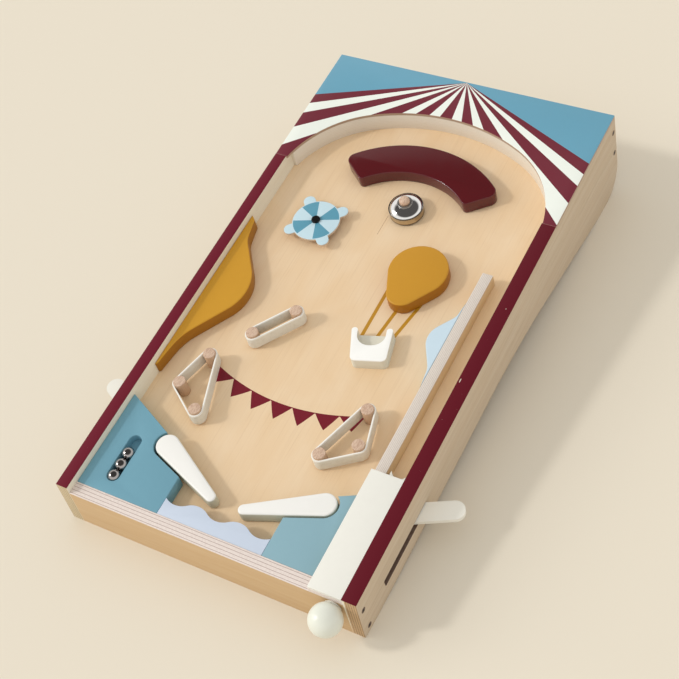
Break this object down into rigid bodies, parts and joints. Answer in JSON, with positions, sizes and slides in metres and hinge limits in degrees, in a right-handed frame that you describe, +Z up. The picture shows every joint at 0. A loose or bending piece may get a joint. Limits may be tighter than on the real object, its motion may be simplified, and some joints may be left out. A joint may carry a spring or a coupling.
{
  "type": "bagatelle board game",
  "caption": "Tabletop bagatelle: tilted wooden case with an arched rear, side-lever flippers, sprung plunger, bell, spinner, rubber-banded pegs and steel balls.",
  "frame": {"origin": "middle of the whole object's box, on the table, levers and plunger knob included", "axes": "+Z up from the table, +Y from the player to the raised rear end, +X to the plunger's side"},
  "size_m": [0.3696, 0.5792, 0.0967],
  "materials": {
    "plywood": "bare birch plywood, sanded, fine layers on its edges",
    "field_board": "pale veneered board, clear satin lacquer",
    "sky_print": "printed board, pale blue with burgundy and white stripes",
    "blue_paint": "satin blue paint with rubbed edges",
    "pale_blue_paint": "satin pale blue paint",
    "mustard_paint": "satin mustard paint with rubbed edges",
    "burgundy_paint": "satin burgundy paint with rubbed edges",
    "white_paint": "satin white paint",
    "peg_wood": "turned beech, waxed",
    "elastic": "white elastic band",
    "bell_chrome": "polished",
    "bright_steel": "ground steel balls, polished",
    "zinc_steel": "zinc plated",
    "black_screw": "blackened steel",
    "nylon": "natural nylon"
  },
  "bodies": {
    "case": {"anchor_screws": "zinc_steel", "arc_block": "burgundy_paint", "arch_cap": "sky_print", "arch_frame": "plywood", "balloon_block": "mustard_paint", "basket_block": "white_paint", "bell_button": "peg_wood", "bell_collar": "zinc_steel", "bell_cup": "bell_chrome", "bell_post": "peg_wood", "blue_hill": "pale_blue_paint", "cover_ledge": "plywood", "front_support_cleat": "plywood", "front_wall": "plywood", "lane_divider": "plywood", "launch_cover": "white_paint", "left_bumper_band": "elastic", "left_bumper_pegs": "peg_wood", "left_flipper_block": "blue_paint", "left_return_spring": "zinc_steel", "left_shaft_bush": "nylon", "left_side_panel": "plywood", "left_support_rail": "plywood", "mustard_hill": "mustard_paint", "panel_nails": "zinc_steel", "playfield": "field_board", "plunger_bush": "nylon", "plunger_spring": "zinc_steel", "rear_wall": "plywood", "right_bumper_band": "elastic", "right_bumper_pegs": "peg_wood", "right_flipper_block": "blue_paint", "right_return_spring": "zinc_steel", "right_shaft_bush": "nylon", "right_side_panel": "plywood", "right_support_rail": "plywood", "spinner_screw": "black_screw", "spinner_spacer": "nylon", "upper_bumper_band": "elastic", "upper_bumper_pegs": "peg_wood", "wave_plate": "pale_blue_paint"},
    "left_flipper_body": {"left_flipper": "white_paint", "left_hook_screw": "zinc_steel", "left_lever": "white_paint", "left_lever_screw": "zinc_steel", "left_lever_washer": "zinc_steel", "left_shaft": "zinc_steel"},
    "right_flipper_body": {"right_flipper": "white_paint", "right_hook_screw": "zinc_steel", "right_lever": "white_paint", "right_lever_screw": "zinc_steel", "right_lever_washer": "zinc_steel", "right_shaft": "zinc_steel"},
    "plunger": {"plunger_knob": "white_paint", "plunger_rod": "zinc_steel", "plunger_striker": "white_paint"},
    "spinner": {"spinner_disc": "pale_blue_paint"},
    "balls": {"steel_balls": "bright_steel"}
  },
  "joints": [
    {"name": "left_flipper_turn", "type": "hinge", "parent": "case", "child": "left_flipper_body", "pos_m": [-0.08, -0.18545, 0.03712], "axis": [0, -0.0795, 0.9968], "range_deg": [0, 42], "stiffness_Nm_per_rad": 0.02, "springref_deg": -20.05, "deforming": ["left_return_spring"]},
    {"name": "right_flipper_turn", "type": "hinge", "parent": "case", "child": "right_flipper_body", "pos_m": [0.08, -0.18545, 0.03712], "axis": [0, 0.0795, -0.9968], "range_deg": [0, 42], "stiffness_Nm_per_rad": 0.02, "springref_deg": -20.05, "deforming": ["right_return_spring"]},
    {"name": "plunger_pull", "type": "slide", "parent": "case", "child": "plunger", "axis": [0, -0.9968, -0.0795], "range_m": [0, 0.035], "stiffness_N_per_m": 60, "springref_m": -0.02, "deforming": ["plunger_spring"]},
    {"name": "spinner_turn", "type": "hinge", "parent": "case", "child": "spinner", "pos_m": [-0.0768, 0.08652, 0.06584], "axis": [0, -0.0795, 0.9968], "continuous": true},
    {"name": "balls_roll", "type": "slide", "parent": "case", "child": "balls", "axis": [0, 0.9968, 0.0795], "range_m": [0, 0.012]}
  ]
}
